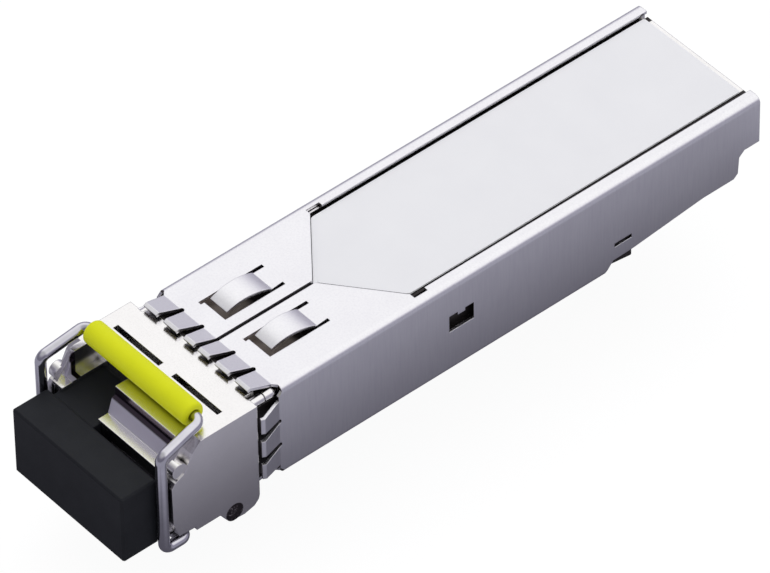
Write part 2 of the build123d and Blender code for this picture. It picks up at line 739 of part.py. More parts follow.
def optical_block():
    half = BLOCK_HALF
    shape = block(PORT_X - half, PORT_X + half, *BLOCK_SPAN, PORT_Z - half, PORT_Z + half)
    shape -= rod_along(PORT_X, PORT_Z, BARREL_SPAN[0], FAR, BARREL)
    shape -= rod_along(PORT_X, PORT_Z, BLOCK_SPAN[0] - 1, BLOCK_SPAN[0] + LASER_DEPTH, CAN)
    shape -= rod_along(PORT_X, PORT_Z, BLOCK_SPAN[0], BLOCK_SPAN[1], 1.0)
    bore = rod_across(PORT_X + half - DETECTOR_DEPTH, PORT_X + half + 1, DETECTOR_STATION, PORT_Z, CAN)
    return shape - bore


def laser_can():
    base = BLOCK_SPAN[0] - LASER_LENGTH
    can = rod_along(PORT_X, PORT_Z, base - 0.1, BLOCK_SPAN[0] + LASER_DEPTH, CAN)
    return can + rod_along(PORT_X, PORT_Z, base - CAN_BASE_THICK, base, CAN_BASE)


def detector_can():
    near = PORT_X + BLOCK_HALF - DETECTOR_DEPTH
    base = near + DETECTOR_LENGTH
    can = rod_across(near, base + 0.1, DETECTOR_STATION, PORT_Z, CAN)
    return can + rod_across(base, base + CAN_BASE_THICK, DETECTOR_STATION, PORT_Z, CAN_BASE)


def laser_flex():
    x0, x1 = PORT_X - LASER_FLEX_HALF, PORT_X + LASER_FLEX_HALF
    front = BLOCK_SPAN[0] - LASER_LENGTH - CAN_BASE_THICK - FLEX_THICK / 2
    low = BOARD_TOP + FLEX_THICK / 2
    drop = FLEX_BEND * math.sqrt(0.5)
    bend = ((front, low + FLEX_BEND), (front - FLEX_BEND + drop, low + FLEX_BEND - drop), (front - FLEX_BEND, low))
    half = FLEX_THICK / 2
    strip = block(x0, x1, front - half, front + half, low + FLEX_BEND, FLEX_TOP)
    strip += block(x0, x1, FLEX_END, front - FLEX_BEND, low - half, low + half)
    return strip + arched_strip(bend, FLEX_THICK, x0, x1)


def detector_flex():
    face = PORT_X + BLOCK_HALF - DETECTOR_DEPTH + DETECTOR_LENGTH + CAN_BASE_THICK
    strip = block(face, face + FLEX_THICK, FLEX_END, DETECTOR_STATION + LASER_FLEX_HALF, BOARD_TOP, FLEX_TOP)
    foot = block(face, face + 1.5, FLEX_END, BOARD[1] - 0.2, BOARD_TOP, BOARD_TOP + FLEX_THICK)
    return strip + foot


def optics_clamp():
    cap = block(PORT_X - BLOCK_HALF, PORT_X + BLOCK_HALF, *SADDLE_SPAN, PORT_Z, CLAMP_TOP)
    return cap - rod_along(PORT_X, PORT_Z, *SADDLE_SPAN, BARREL)


def barrel_gasket():
    ring = rod_along(PORT_X, PORT_Z, BARREL_FLANGE[1], GASKET_END, BARREL_FLANGE[2])
    return ring - rod_along(PORT_X, PORT_Z, 0, FAR, BARREL)


def capacitors():
    return Compound(children=[on_board(x, s, *CAPACITOR) for x, s in CAPACITORS])


def inductors():
    return Compound(children=[on_board(x, s, *INDUCTOR) for x, s in INDUCTORS])


def thermal_pad():
    """The pad that fills the space from the driver chip up to the lid."""
    x, station, width, length, height = DRIVER_CHIP
    bottom = BOARD_TOP + height
    return Pos(0, 0, height) * on_board(x, station, width, length, PAD_TOP - bottom)


def parts():
    return {
        "shell": shell(),
        "base_casting": base_casting(),
        "top_cover": top_cover(),
        "label_plate": label_plate(),
        "bail_wire": bail_wire(),
        "bail_sleeve": bail_sleeve(),
        "latch_rocker": latch_rocker(),
        "pivot_pin": pivot_pin(),
        "latch_spring": latch_spring(),
        "dust_plug": dust_plug(),
        "circuit_board": circuit_board(),
        "edge_contacts": edge_contacts(),
        "driver_chip": on_board(*DRIVER_CHIP),
        "controller_chip": on_board(*CONTROLLER_CHIP),
        "memory_chip": on_board(*MEMORY_CHIP),
        "capacitors": capacitors(),
        "inductors": inductors(),
        "crystal": on_board(*CRYSTAL),
        "thermal_pad": thermal_pad(),
        "receptacle_barrel": receptacle_barrel(),
        "alignment_sleeve": alignment_sleeve(),
        "fibre_stub": rod_along(PORT_X, PORT_Z, STUB_SPAN[0], STUB_SPAN[1], FERRULE),
        "optical_block": optical_block(),
        "laser_can": laser_can(),
        "detector_can": detector_can(),
        "laser_flex": laser_flex(),
        "detector_flex": detector_flex(),
        "optics_clamp": optics_clamp(),
        "barrel_gasket": barrel_gasket(),
    }


os.makedirs("parts", exist_ok=True)
for name, shape in parts().items():
    export_step(shape, f"parts/{name}.step")
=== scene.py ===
import json
import math

import bpy
from mathutils import Matrix, Vector


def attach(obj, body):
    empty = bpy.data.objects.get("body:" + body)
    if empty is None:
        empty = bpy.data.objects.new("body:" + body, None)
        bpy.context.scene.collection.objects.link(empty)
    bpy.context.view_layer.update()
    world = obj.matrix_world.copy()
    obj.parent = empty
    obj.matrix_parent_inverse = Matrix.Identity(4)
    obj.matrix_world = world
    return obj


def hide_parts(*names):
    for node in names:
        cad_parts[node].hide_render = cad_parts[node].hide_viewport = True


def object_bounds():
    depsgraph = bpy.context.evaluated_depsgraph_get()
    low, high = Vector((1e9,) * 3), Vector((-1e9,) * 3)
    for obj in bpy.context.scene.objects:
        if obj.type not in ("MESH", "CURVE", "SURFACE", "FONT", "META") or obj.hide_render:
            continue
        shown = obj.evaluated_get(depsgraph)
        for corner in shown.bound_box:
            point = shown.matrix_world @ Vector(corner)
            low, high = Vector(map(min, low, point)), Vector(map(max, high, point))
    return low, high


# Single-fibre transceiver: plated casting in a sprung steel sleeve, wire bail with a coloured grip,
# black dust plug. Lengths are in millimetres and become metres through MM. Stations count forward
# from the rear end, as in the part's source.

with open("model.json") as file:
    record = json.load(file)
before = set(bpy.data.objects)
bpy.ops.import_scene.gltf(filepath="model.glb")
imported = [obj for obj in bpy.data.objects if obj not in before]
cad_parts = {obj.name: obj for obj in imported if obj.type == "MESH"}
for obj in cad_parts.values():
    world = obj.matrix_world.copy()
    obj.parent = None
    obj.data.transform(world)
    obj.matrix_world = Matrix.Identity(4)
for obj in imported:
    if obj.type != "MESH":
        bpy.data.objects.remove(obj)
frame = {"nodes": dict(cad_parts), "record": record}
nodes = frame["nodes"]
cad_low, cad_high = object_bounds()

MM = 0.001
BODY_LENGTH = 47.5

# Bail: the wire's line as stations, heights and half widths, and the grip on its top bar
WIRE = 0.85
BAIL_PIVOT = (53.85, -0.3)
BAIL_LEG = 55.93
BAIL_SHOULDER = 8.7
BAIL_TOP = (52.05, 9.6)
BAIL_HALF = 6.625
BAIL_TOP_HALF = 6.295
BAIL_BEND = 0.6
SLEEVE = 1.9
SLEEVE_HALF = 5.625
SLEEVE_BORE = 0.91
SLEEVE_END = 0.3
SLEEVE_MOUTH = 0.08
JOURNAL_END = 4.95
TIP_X = (4.3, 5.2)
TIP_OFFSET = 0.286
TIP_ANGLE = 53.5

# Zones of the casting where shade is painted: stations, half widths and heights
COVERED = (8.0, 46.95)
RIB_EDGE = (5.6, 7.2)
FLANK = 4.95
TONGUES = (40.6, 44.3)
TONGUE_ZONE = (0.7, 4.9)
STEP_HALF = 5.9
STEP_CREASE = (53.6, 54.0)
STEP_SLOPE = (53.96, 54.45)
STEP_HEIGHTS = (6.4, 8.4)
STEP_DROP = 7.81

# Label: heights, left and right edges, and the chevron's tip
LABEL_LOW = 8.05
LABEL_PAD = 8.13
LABEL_TOP = 8.17
LABEL_SIDES = (-5.42, 5.18, 5.04)
LABEL_REAR = 0.4
LABEL_TIP = 36.54
LABEL_SLOPE = 4.5 / 5.6
LABEL_BORDER = 0.32
LABEL_INSET = 0.05
LABEL_CORNERS = (0.5, 0.25, 0.5, 0.2, 0.2)

# Peened ends of the rocker's pin
PIN_STATION = 49.8
PIN_HEIGHT = -0.45
PIN_RADIUS = 0.78
PIN_FACE = 6.95
PIN_SUNK = 0.1
PIN_BULGE = 0.06
PIN_CENTRE = 0.02

# The tray's rear hooks: corners as stations and heights
HOOK_OUTLINE = ((12.27, 0.5), (14.15, 0.78), (14.3, 1.15), (12.27, 1.15))
HOOK_SPAN = (6.2, 6.58)
HOOK_CORNER = 0.08

# The bail hangs this far below the module at the end of its swing, so the floor is that much lower.
FLOOR_DROP = 4.2
FLOOR_REACH = 3000.0
FLOOR_WHITE = (1.07, 1.07, 1.07)
SEEN_LIFT = 0.87
MIRRORED_LIFT = 0.92

# Metal mirrors a floor with a painted shadow: dark beside the module and paler further out.
NOSE_MARGIN = 5.0
SHADE_START = 0.5
SHADE_LENGTH = 8.0
SHADE_CURVE = 1.5

# Camera, worked out from the photograph
CAMERA_AIM = (0.0, -1.25, 4.0)
CAMERA_AZIMUTH = 50.19
CAMERA_ELEVATION = 44.25
CAMERA_ROLL = -0.98
CAMERA_OFFSET = (3.753, 2.417)
CAMERA_DISTANCE = 627.8
FOCAL_PIXELS = 8773.4
IMAGE_WIDTH = 770
SENSOR = 36.0


def fwd(station):
    """Y in millimetres of a point that lies this far forward of the rear end."""
    return BODY_LENGTH / 2 - station


# Shader arithmetic


class Flow:
    """A socket's value, or a colour, that takes part in plain expressions."""

    def __init__(self, finish, socket):
        self.finish = finish
        self.socket = socket

    def _maths(self, operation, *terms):
        inputs = dict(enumerate(terms))
        return self.finish.node("ShaderNodeMath", {"operation": operation}, inputs)

    def __add__(self, other):
        return self._maths("ADD", self, other)

    def __radd__(self, other):
        return self._maths("ADD", other, self)

    def __sub__(self, other):
        return self._maths("SUBTRACT", self, other)

    def __rsub__(self, other):
        return self._maths("SUBTRACT", other, self)

    def __mul__(self, other):
        return self._maths("MULTIPLY", self, other)

    def __rmul__(self, other):
        return self._maths("MULTIPLY", other, self)

    def __pow__(self, other):
        return self._maths("POWER", self, other)

    def __neg__(self):
        return self._maths("MULTIPLY", self, -1.0)

    def above(self, edge, width):
        """0 below edge - width and 1 above edge + width, with a soft step between."""
        settings = {"interpolation_type": "SMOOTHSTEP"}
        inputs = {"Value": self, "From Min": edge - width, "From Max": edge + width}
        return self.finish.node("ShaderNodeMapRange", settings, inputs)

    def most(self, other):
        return self._maths("MAXIMUM", self, other)

    def least(self, other):
        return self._maths("MINIMUM", self, other)

    def size(self):
        return self._maths("ABSOLUTE", self)


class Finish:
    """One finish, with the nodes that make it."""

    def __init__(self, name):
        self.material = bpy.data.materials.new(name)
        self.material.use_nodes = True
        self.tree = self.material.node_tree
        self.tree.nodes.clear()
        self.end = self.tree.nodes.new("ShaderNodeOutputMaterial")

    def node(self, kind, settings=None, inputs=None, output=0):
        """Adds a node: its settings first, then the values or links of its sockets.

        Gives the output asked for, or a list of outputs for a tuple of names.
        """
        made = self.tree.nodes.new(kind)
        for key, value in (settings or {}).items():
            setattr(made, key, value)
        for key, value in (inputs or {}).items():
            socket = made.inputs[key]
            if isinstance(value, Flow):
                self.tree.links.new(value.socket, socket)
            elif socket.type == "RGBA":
                socket.default_value = (*value, 1.0)
            else:
                socket.default_value = value
        if isinstance(output, tuple):
            return [Flow(self, made.outputs[name]) for name in output]
        return Flow(self, made.outputs[output])

    def place(self):
        """Position on the piece in millimetres, in the module's own frame."""
        at_rest = self.node("ShaderNodeTexCoord", output="Object")
        inputs = {0: at_rest, "Scale": 1 / MM}
        return self.node("ShaderNodeVectorMath", {"operation": "SCALE"}, inputs)

    def stretched(self, place, x, y, z):
        inputs = {0: place, 1: (x, y, z)}
        return self.node("ShaderNodeVectorMath", {"operation": "MULTIPLY"}, inputs)

    def axes(self, vector):
        return self.node("ShaderNodeSeparateXYZ", None, {0: vector}, ("X", "Y", "Z"))

    def rays(self):
        """1 for what the camera sees itself, what is mirrored and what is seen through glass."""
        names = ("Is Camera Ray", "Is Glossy Ray", "Is Transmission Ray")
        return self.node("ShaderNodeLightPath", output=names)

    def facing(self):
        """Components of the true face direction, in the module's own frame."""
        normal = self.node("ShaderNodeNewGeometry", output="True Normal")
        return self.axes(normal)

    def noise(self, place, scale, detail=2.0, roughness=0.5, distortion=0.0):
        inputs = {
            "Vector": place,
            "Scale": scale,
            "Detail": detail,
            "Roughness": roughness,
            "Distortion": distortion,
        }
        return self.node("ShaderNodeTexNoise", None, inputs)

    def blend(self, factor, first, second):
        """Colour that goes from first to second as factor goes from 0 to 1."""
        settings = {"data_type": "RGBA", "clamp_factor": True}
        return self.node("ShaderNodeMix", settings, {0: factor, 6: first, 7: second}, 2)

    def occlusion_shade(self, reach):
        """1 in the open and towards 0 deep in a narrow space about as wide as reach, in
        millimetres; the finishes use it to paint shade into colours.
        """
        inputs = {"Distance": reach * MM}
        return self.node("ShaderNodeAmbientOcclusion", {"samples": 16}, inputs, "AO")

    def bump(self, height, strength, depth, normal=None):
        inputs = {"Height": height, "Strength": strength, "Distance": depth * MM}
        if normal is not None:
            inputs["Normal"] = normal
        return self.node("ShaderNodeBump", None, inputs)

    def soft_edge(self, radius):
        """Surface direction as if each edge were rounded to this radius in millimetres."""
        return self.node("ShaderNodeBevel", {"samples": 6}, {"Radius": radius * MM})

    def surface(self, **sockets):
        """Closes the finish with the main shader; socket names are written with underscores."""
        inputs = {key.replace("_", " "): value for key, value in sockets.items()}
        shader = self.node("ShaderNodeBsdfPrincipled", None, inputs, "BSDF")
        self.tree.links.new(shader.socket, self.end.inputs["Surface"])
        return self.material


# Finishes


def rolled_steel():
    """Thin tinned spring steel: near white on top, with rolling marks along the sides' height,
    painted shade on faces that look forward and painted shade deep in narrow spaces.
    """
    steel = Finish("rolled_steel")
    place = steel.place()
    drawn = steel.noise(steel.stretched(place, 6.0, 6.0, 0.35), 1.0, 3.0, 0.6)
    cloud = steel.noise(place, 0.35, 3.0, 0.55)
    speck = steel.noise(place, 14.0, 2.0, 0.6)
    along = steel.facing()[1]
    forward_shade = (-along).above(0.8, 0.1)
    gap_shade = steel.occlusion_shade(0.5).above(0.3, 0.2)
    tone = steel.blend(cloud, (0.84, 0.83, 0.86), (0.92, 0.915, 0.935))
    tone = steel.blend((drawn - 0.42) * 0.8, tone, (0.66, 0.65, 0.71))
    # Painted shade: faces that look forward turn near black.
    tone = steel.blend(forward_shade, tone, (0.10, 0.08, 0.07))
    # Painted shade: deep narrow spaces turn near black.
    tone = steel.blend(gap_shade, (0.025, 0.02, 0.018), tone)
    rough = 0.22 + 0.14 * drawn + 0.06 * speck
    edge = steel.soft_edge(0.07)
    return steel.surface(
        Base_Color=tone,
        Metallic=1.0,
        Roughness=rough,
        Normal=steel.bump(drawn * 0.5 + speck * 0.5, 0.08, 0.02, edge),
    )


def casting_zones(plate, x, y, z):
    """Masks of the casting where shade is painted: under the steel sleeve, under the tongues, and
    in the crease and on the slope of the nose's step.
    """

    def between(rear, front, rear_edge=0.03, front_edge=0.03):
        behind_front = y.above(fwd(front), front_edge)
        return behind_front * (1.0 - y.above(fwd(rear), rear_edge))

    beside = x.size()
    inner, outer = TONGUE_ZONE
    tongues = beside.above(inner, 0.05) * (1.0 - beside.above(outer, 0.1))
    tongues = tongues * between(*TONGUES, 0.4, 0.05)
    rib = beside.above(RIB_EDGE[0], 0.1) * z.above(RIB_EDGE[1], 0.1)
    # Painted shade: the label bed's flank beyond FLANK is painted dark along with the casting under
    # the sleeve.
    bed_edge = z.above(LABEL_LOW - 0.2, 0.05) * beside.above(FLANK, 0.05)
    sleeved = (1.0 - y.above(fwd(COVERED[0]), 0.05)).most(bed_edge)
    covered = y.above(fwd(COVERED[1]), 0.03) * sleeved * (1.0 - rib)
    bottom, top = STEP_HEIGHTS
    step = z.above(bottom, 0.03) * (1.0 - z.above(top, 0.03))
    step = step * (1.0 - beside.above(STEP_HALF, 0.05))
    return covered, tongues, step * between(*STEP_CREASE), step * between(*STEP_SLOPE)


def plated_casting():
    """Bright plate over a pitted casting, rougher and less metallic under the sleeve and on the
    nose's step, with painted shade in narrow spaces, under the sleeve, under the tongues and on the
    step's slope, and a painted shadow in the step's crease.
    """
    plate = Finish("plated_casting")
    place = plate.place()
    x, y, z = plate.axes(place)
    covered, tongues, crease, slope = casting_zones(plate, x, y, z)
    cloud = plate.noise(place, 0.55, 4.0, 0.6)
    pits = plate.noise(place, 6.0, 3.0, 0.65)
    open_air = plate.occlusion_shade(0.9)
    tone = plate.blend(cloud, (0.84, 0.825, 0.82), (0.93, 0.915, 0.91))
    tone = plate.blend((pits - 0.45) * 0.7, tone, (0.70, 0.68, 0.69))
    # Painted shade: deep narrow spaces turn near black.
    tone = plate.blend(open_air.above(0.28, 0.22), (0.02, 0.017, 0.016), tone)
    # Painted shade: the casting under the sleeve is painted dark, darkest in narrow spaces.
    shaded_brown = plate.blend(pits, (0.36, 0.30, 0.27), (0.56, 0.49, 0.45))
    # Painted shade: under the tongues the casting is near black.
    covered_shade = plate.blend(tongues, (0.020, 0.016, 0.017), shaded_brown)
    covered_shade = plate.blend(open_air.above(0.2, 0.19), (0.014, 0.011, 0.011), covered_shade)
    # Painted shadow in the step's crease, darkest below the drop.
    shadow = plate.blend(z.above(STEP_DROP, 0.04), (0.03, 0.023, 0.033), (0.24, 0.19, 0.235))
    tone = plate.blend(covered, tone, covered_shade)
    # Painted shade: the step's slope is a darker lilac grey.
    tone = plate.blend(slope, tone, (0.56, 0.53, 0.66))
    tone = plate.blend(crease, tone, shadow)
    rough = covered.most(slope)
    return plate.surface(
        Base_Color=tone,
        Metallic=1.0 - 0.7 * rough,
        Roughness=0.17 + 0.1 * pits + 0.35 * rough,
        Normal=plate.bump(pits * 0.7 + cloud * 0.3, 0.06, 0.02, plate.soft_edge(0.07)),
    )


def silver_film():
    """Satin film on the label bed, with painted shade that turns faces looking right near black."""
    film = Finish("silver_film")
    place = film.place()
    cloud = film.noise(place, 0.25, 3.0, 0.5)
    grain = film.noise(place, 22.0, 2.0, 0.5)
    right_side_shade = film.facing()[0].above(0.5, 0.2)
    tone = film.blend(cloud, (0.86, 0.86, 0.895), (0.91, 0.91, 0.94))
    # Painted shade: faces that look right turn near black.
    tone = film.blend(right_side_shade, tone, (0.012, 0.012, 0.014))
    return film.surface(
        Base_Color=tone,
        Metallic=0.35,
        Roughness=0.36 + 0.08 * grain,
        Normal=film.bump(grain, 0.05, 0.01),
    )


def drawn_wire():
    """Bright spring wire with fine drawing lines and painted shade in narrow spaces."""
    wire = Finish("drawn_wire")
    place = wire.place()
    lines = wire.noise(wire.stretched(place, 9.0, 1.2, 1.2), 1.4, 3.0, 0.6)
    cloud = wire.noise(place, 1.1, 2.0, 0.5)
    gap_shade = wire.occlusion_shade(0.5)
    tone = wire.blend(cloud, (0.58, 0.57, 0.62), (0.74, 0.73, 0.78))
    # Painted shade: narrow spaces turn dark.
    tone = wire.blend(gap_shade, (0.10, 0.09, 0.095), tone)
    return wire.surface(
        Base_Color=tone,
        Metallic=1.0,
        Roughness=0.1 + 0.1 * lines,
        Normal=wire.bump(lines, 0.1, 0.01),
    )


def grip_plastic():
    """Yellow-green moulded grip, with a fine grain and a cloudy tone."""
    grip = Finish("grip_plastic")
    place = grip.place()
    cloud = grip.noise(place, 0.7, 3.0, 0.5)
    grain = grip.noise(place, 16.0, 3.0, 0.6)
    tone = grip.blend(cloud, (0.80, 0.85, 0.008), (0.88, 0.92, 0.014))
    return grip.surface(
        Base_Color=tone,
        Roughness=0.42 + 0.12 * grain,
        Specular_IOR_Level=0.25,
        Normal=grip.bump(grain, 0.12, 0.02),
    )


def moulded_rubber():
    """Black plug rubber with a fine matt grain and a little dust."""
    rubber = Finish("moulded_rubber")
    place = rubber.place()
    grain = rubber.noise(place, 9.0, 4.0, 0.65)
    cloud = rubber.noise(place, 0.6, 3.0, 0.55)
    tone = rubber.blend(cloud, (0.010, 0.011, 0.0145), (0.018, 0.0195, 0.0245))
    return rubber.surface(
        Base_Color=tone,
        Roughness=0.5 + 0.16 * grain,
        Specular_IOR_Level=0.2,
        Normal=rubber.bump(grain, 0.22, 0.03, rubber.soft_edge(0.12)),
    )


def board_mask():
    """Green solder mask with faint copper tracks under it."""
    board = Finish("board_mask")
    place = board.place()
    weave = board.noise(board.stretched(place, 3.0, 3.0, 0.2), 1.6, 2.0, 0.4)
    wave = board.node(
        "ShaderNodeTexWave",
        {"wave_type": "BANDS", "bands_direction": "X"},
        {
            "Vector": place,
            "Scale": 0.6,
            "Distortion": 6.0,
            "Detail": 1.0,
            "Detail Scale": 0.3,
        },
        "Fac",
    )
    flat = board.facing()[2].size().above(0.5, 0.2)
    tracks = wave.above(0.72, 0.04) * flat
    tone = board.blend(tracks, (0.006, 0.085, 0.03), (0.02, 0.16, 0.06))
    return board.surface(
        Base_Color=tone,
        Roughness=0.3 + 0.15 * weave,
        Normal=board.bump(tracks * 0.7 + weave * 0.3, 0.2, 0.03),
    )


def gold_plate():
    """Thin bright gold of the contacts and cans."""
    gold = Finish("gold_plate")
    place = gold.place()
    cloud = gold.noise(place, 1.5, 3.0, 0.5)
    tone = gold.blend(cloud, (0.75, 0.50, 0.16), (0.88, 0.64, 0.24))
    return gold.surface(Base_Color=tone, Metallic=1.0, Roughness=0.2 + 0.15 * cloud)


def moulded_chip():
    """Black moulding compound with a matt grain."""
    chip = Finish("moulded_chip")
    place = chip.place()
    grain = chip.noise(place, 7.0, 4.0, 0.6)
    tone = chip.blend(grain, (0.014, 0.014, 0.016), (0.032, 0.032, 0.034))
    return chip.surface(
        Base_Color=tone,
        Roughness=0.55 + 0.15 * grain,
        Normal=chip.bump(grain, 0.2, 0.02),
    )


def capacitor_body():
    """Brown fired ceramic."""
    body = Finish("capacitor_body")
    grain = body.noise(body.place(), 9.0, 3.0, 0.5)
    tone = body.blend(grain, (0.30, 0.19, 0.11), (0.45, 0.30, 0.19))
    return body.surface(Base_Color=tone, Roughness=0.4 + 0.1 * grain)


def polished_ceramic():
    """White zirconia, ground smooth."""
    ceramic = Finish("polished_ceramic")
    cloud = ceramic.noise(ceramic.place(), 1.5, 3.0, 0.5)
    tone = ceramic.blend(cloud, (0.82, 0.81, 0.76), (0.90, 0.89, 0.85))
    return ceramic.surface(Base_Color=tone, Roughness=0.12 + 0.08 * cloud)


def amber_film():
    """Amber film of the flexible circuits, with fine lines along it."""
    film = Finish("amber_film")
    place = film.place()
    lines = film.noise(film.stretched(place, 6.0, 0.6, 0.6), 1.2, 2.0, 0.5)
    tone = film.blend(lines, (0.42, 0.18, 0.03), (0.60, 0.29, 0.06))
    return film.surface(Base_Color=tone, Roughness=0.3 + 0.1 * lines)


def pad_silicone():
    """Soft blue-grey heat pad."""
    pad = Finish("pad_silicone")
    grain = pad.noise(pad.place(), 5.0, 3.0, 0.6)
    tone = pad.blend(grain, (0.28, 0.36, 0.44), (0.38, 0.47, 0.55))
    return pad.surface(Base_Color=tone, Roughness=0.7 + 0.1 * grain)


def peened_steel():
    """The pin's end, peened over and painted near black for the shade in the cheek's lobe, with
    bright scratches.
    """
    pin = Finish("peened_steel")
    place = pin.place()
    marks = pin.noise(place, 2.6, 4.0, 0.7, 1.5)
    # Painted shade: most of the pin's end is near black, with lighter marks.
    tone = pin.blend(marks.above(0.62, 0.08), (0.016, 0.011, 0.015), (0.30, 0.27, 0.30))
    return pin.surface(
        Base_Color=tone,
        Metallic=0.6,
        Roughness=0.36 + 0.2 * marks,
        Normal=pin.bump(marks, 0.6, 0.08),
    )


FINISHES = {
    "shell_steel": rolled_steel(),
    "plated_casting": plated_casting(),
    "label": silver_film(),
    "wire_steel": drawn_wire(),
    "sleeve_plastic": grip_plastic(),
    "plug_rubber": moulded_rubber(),
    "pad_rubber": pad_silicone(),
    "board": board_mask(),
    "gold": gold_plate(),
    "chip": moulded_chip(),
    "component_ceramic": capacitor_body(),
    "zirconia": polished_ceramic(),
    "flex": amber_film(),
    "pin_end": peened_steel(),
}


def dress(piece, finish):
    piece.data.materials.clear()
    piece.data.materials.append(FINISHES[finish])


for subpart in frame["record"]["subparts"]:
    dress(nodes[subpart["node"]], subpart["material_slot"])


# Bail


def rounded(points, radius, steps=7):
    """The line of points with each corner turned into an arc of this radius."""
    line = [points[0]]
    for before, corner, after in zip(points, points[1:], points[2:]):
        back, ahead = (before - corner).normalized(), (after - corner).normalized()
        half = back.angle(ahead) / 2
        reach = radius / math.tan(half)
        centre = corner + (back + ahead).normalized() * (radius / math.sin(half))
        start, end = corner + back * reach - centre, corner + ahead * reach - centre
        for step in range(steps + 1):
            line.append(centre + start.slerp(end, step / steps).normalized() * radius)
    return line + [points[-1]]


def swept(line, radius, sides=28):
    """Rings of one radius along a line of points, with closed ends."""
    ahead = [(b - a).normalized() for a, b in zip(line, line[1:])]
    across = ahead[0].orthogonal().normalized()
    vertices, faces = [], []
    for point, before, after in zip(line, ahead[:1] + ahead, ahead + ahead[-1:]):
        course = (before + after).normalized()
        across = (across - course * across.dot(course)).normalized()
        upright = course.cross(across)
        for side in range(sides):
            turn = 2 * math.pi * side / sides
            vertices.append(point + (across * math.cos(turn) + upright * math.sin(turn)) * radius)
    for ring in range(len(line) - 1):
        for side in range(sides):
            here, next_side = ring * sides + side, ring * sides + (side + 1) % sides
            faces.append((here, next_side, next_side + sides, here + sides))
    last = (len(line) - 1) * sides
    faces.append(tuple(reversed(range(sides))))
    faces.append(tuple(range(last, last + sides)))
    return vertices, faces


def quarter_turn(steps):
    return [math.pi / 2 * step / steps for step in range(steps + 1)]


def turned(profile, station, z, sides=48):
    """A closed outline of (x, radius) points, turned about the line across at this place."""
    vertices, faces = [], []
    count = len(profile)
    for side in range(sides):
        turn = 2 * math.pi * side / sides
        for x, radius in profile:
            y = fwd(station) + radius * math.cos(turn)
            vertices.append(Vector((x, y, z + radius * math.sin(turn))))
    for side in range(sides):
        here, there = side * count, (side + 1) % sides * count
        for i in range(count):
            j = (i + 1) % count
            faces.append((here + i, here + j, there + j, there + i))
    return vertices, faces


def rounded_outline(corners, radii, steps=6):
    """A convex outline, with each corner turned into an arc of its own radius."""
    outline = []
    for i, (corner, radius) in enumerate(zip(corners, radii)):
        before, after = corners[i - 1], corners[(i + 1) % len(corners)]
        back, ahead = (before - corner).normalized(), (after - corner).normalized()
        half = back.angle(ahead) / 2
        centre = corner + (back + ahead).normalized() * (radius / math.sin(half))
        start = corner + back * (radius / math.tan(half)) - centre
        end = corner + ahead * (radius / math.tan(half)) - centre
        for step in range(steps + 1):
            outline.append(centre + start.slerp(end, step / steps).normalized() * radius)
    return outline


def slab(outline, low, high):
    """A flat plate between two heights."""
    count = len(outline)
    vertices = [Vector((p.x, p.y, z)) for z in (low, high) for p in outline]
    faces = [(i, (i + 1) % count, (i + 1) % count + count, i + count) for i in range(count)]
    return vertices, faces + [tuple(reversed(range(count))), tuple(range(count, 2 * count))]


def smooth_piece(name, shapes, finish, body, node=None, sharp=40):
    """One piece from several shapes in millimetres, in the place of a CAD node if one is named."""
    vertices, faces = [], []
    for points, patches in shapes:
        start = len(vertices)
        vertices += [tuple(point * MM) for point in points]
        faces += [tuple(start + i for i in patch) for patch in patches]
    mesh = bpy.data.meshes.new(name)
    mesh.from_pydata(vertices, [], faces)
    mesh.shade_smooth()
    mesh.set_sharp_from_angle(angle=math.radians(sharp))
    piece = bpy.data.objects.new(name, mesh)
    bpy.context.scene.collection.objects.link(piece)
    dress(piece, finish)
    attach(piece, body)
    if node:
        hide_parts(node)
    return piece


def bent_wire():
    """The bail: one wire with its feet, legs, shoulders and top bar, and the stepped tips."""
    station, z = BAIL_PIVOT
    half = (
        (JOURNAL_END, station, z),
        (BAIL_HALF, station, z),
        (BAIL_HALF, BAIL_LEG, z),
        (BAIL_HALF, BAIL_LEG, BAIL_SHOULDER),
        (BAIL_TOP_HALF, *BAIL_TOP),
    )
    right = [Vector((x, fwd(s), height)) for x, s, height in half]
    left = [Vector((-x, fwd(s), height)) for x, s, height in reversed(half)]
    radius = WIRE / 2
    shapes = [swept(rounded(right + left, BAIL_BEND), radius)]
    angle = math.radians(TIP_ANGLE)
    y, height = fwd(station + TIP_OFFSET * math.cos(angle)), z + TIP_OFFSET * math.sin(angle)
    for side in (-1, 1):
        ends = [Vector((side * x, y, height)) for x in TIP_X]
        shapes.append(swept(ends, radius))
    wire = smooth_piece("bent_wire", shapes, "wire_steel", "bail", "bail_wire")


def grip_sleeve():
    """The coloured sleeve, with its ends rounded over."""
    end, x0, r0 = SLEEVE_END, SLEEVE_HALF - SLEEVE_END, SLEEVE / 2 - SLEEVE_END
    corner = [(x0 + end * math.sin(turn), r0 + end * math.cos(turn)) for turn in quarter_turn(6)]
    bore = SLEEVE_BORE / 2
    mouth = [(SLEEVE_HALF, bore + SLEEVE_MOUTH), (SLEEVE_HALF - SLEEVE_MOUTH, bore)]
    right = corner + mouth
    profile = right + [(-x, radius) for x, radius in reversed(right)]
    shapes = [turned(profile, *BAIL_TOP)]
    grip = smooth_piece("grip_sleeve", shapes, "sleeve_plastic", "bail", "bail_sleeve")


# Label, pin ends and hooks


